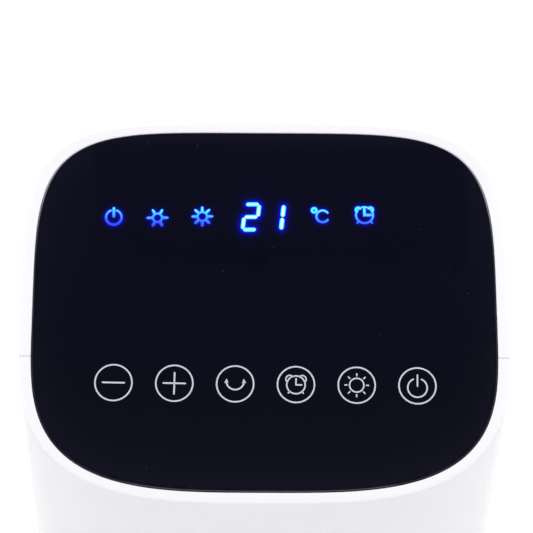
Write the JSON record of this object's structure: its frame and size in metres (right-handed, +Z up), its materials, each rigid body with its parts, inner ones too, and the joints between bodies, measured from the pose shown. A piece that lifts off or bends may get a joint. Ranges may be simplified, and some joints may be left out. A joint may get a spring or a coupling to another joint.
{
  "type": "tower heater",
  "caption": "Upright ceramic fan heater with a slanted black touch panel on a white rounded housing that swings on a round base.",
  "frame": {"origin": "centre of the round base on the floor; the swivel axis passes through it", "axes": "+Z up, -Y towards the front with the warm-air outlet, +X to the right seen from the front"},
  "size_m": [0.208, 0.208, 0.52],
  "materials": {
    "housing_white": "glossy moulded plastic",
    "panel_black": "polished smoked acrylic",
    "black_plastic": "fine satin",
    "dark_plastic": "fine satin",
    "grey_plastic": "satin",
    "cream_plastic": "satin",
    "rubber_black": "matte",
    "steel": "zinc plated",
    "aluminium": "bright rolled",
    "board_green": "coated laminate",
    "relay_blue": "satin",
    "filter_mesh": "woven nylon",
    "cable_black": "soft vinyl",
    "cable_grey": "soft vinyl"
  },
  "bodies": {
    "base": {"base_cover": "housing_white", "base_plate": "black_plastic", "base_weight": "steel", "foot_1": "rubber_black", "foot_2": "rubber_black", "foot_3": "rubber_black", "foot_4": "rubber_black", "base_screw_1": "steel", "base_screw_2": "steel", "base_screw_3": "steel", "cord_grommet": "rubber_black", "swivel_post": "grey_plastic", "bearing_ring": "cream_plastic", "retaining_ring": "steel", "oscillation_gear": "cream_plastic", "tip_switch": "cream_plastic", "tip_spring": "steel", "mains_lead_base": "cable_black"},
    "tower": {"front_shell": "housing_white", "rear_shell": "housing_white", "shell_screw_1": "steel", "shell_screw_2": "steel", "shell_screw_3": "steel", "shell_screw_4": "steel", "front_grille": "dark_plastic", "handle_pocket": "dark_plastic", "control_panel": "panel_black", "panel_tray": "black_plastic", "display_board": "board_green", "display_module": "cream_plastic", "ir_receiver": "black_plastic", "touch_board": "board_green", "tray_screw_1": "steel", "tray_screw_2": "steel", "lower_deck": "dark_plastic", "upper_deck": "dark_plastic", "fan_motor": "steel", "fan_bearing": "cream_plastic", "scroll_duct": "dark_plastic", "duct_tongue": "dark_plastic", "heater_frame": "cream_plastic", "heater_core": "aluminium", "thermal_cutout": "steel", "power_board": "board_green", "relay_1": "relay_blue", "relay_2": "relay_blue", "filter_capacitor": "black_plastic", "display_cable": "cable_grey", "mains_lead_tower": "cable_black", "swivel_plate": "dark_plastic", "swivel_motor": "steel", "switch_body": "black_plastic"},
    "pinion": {"swivel_pinion": "cream_plastic"},
    "fan": {"fan_wheel": "black_plastic", "fan_shaft": "steel"},
    "rocker": {"switch_rocker": "black_plastic"},
    "intake": {"intake_cover": "housing_white", "dust_filter": "filter_mesh"},
    "plunger": {"tip_plunger": "dark_plastic"}
  },
  "joints": [
    {"name": "oscillation", "type": "hinge", "parent": "base", "child": "tower", "pos_m": [0, 0, 0.034], "axis": [0, 0, 1], "range_deg": [-35, 35]},
    {"name": "pinion_spin", "type": "hinge", "parent": "tower", "child": "pinion", "pos_m": [-0.03128, 0.01806, 0.041], "axis": [0, 0, 1], "range_deg": [-105, 105]},
    {"name": "fan_spin", "type": "hinge", "parent": "tower", "child": "fan", "pos_m": [0.008, 0.02, 0.26], "axis": [0, 0, 1], "continuous": true},
    {"name": "rocker_tilt", "type": "hinge", "parent": "tower", "child": "rocker", "pos_m": [0.027, 0.0591, 0.076], "axis": [1, 0, 0], "range_deg": [-20, 0]},
    {"name": "intake_slide", "type": "slide", "parent": "tower", "child": "intake", "axis": [0, 1, 0], "range_m": [0, 0.04]},
    {"name": "plunger_drop", "type": "slide", "parent": "base", "child": "plunger", "axis": [0, 0, -1], "range_m": [0, 0.004], "stiffness_N_per_m": 200, "springref_m": 0.005, "deforming": ["tip_spring"]}
  ],
  "couplings": [
    {"joint": "pinion_spin", "follows": "oscillation", "ratio": 3}
  ]
}
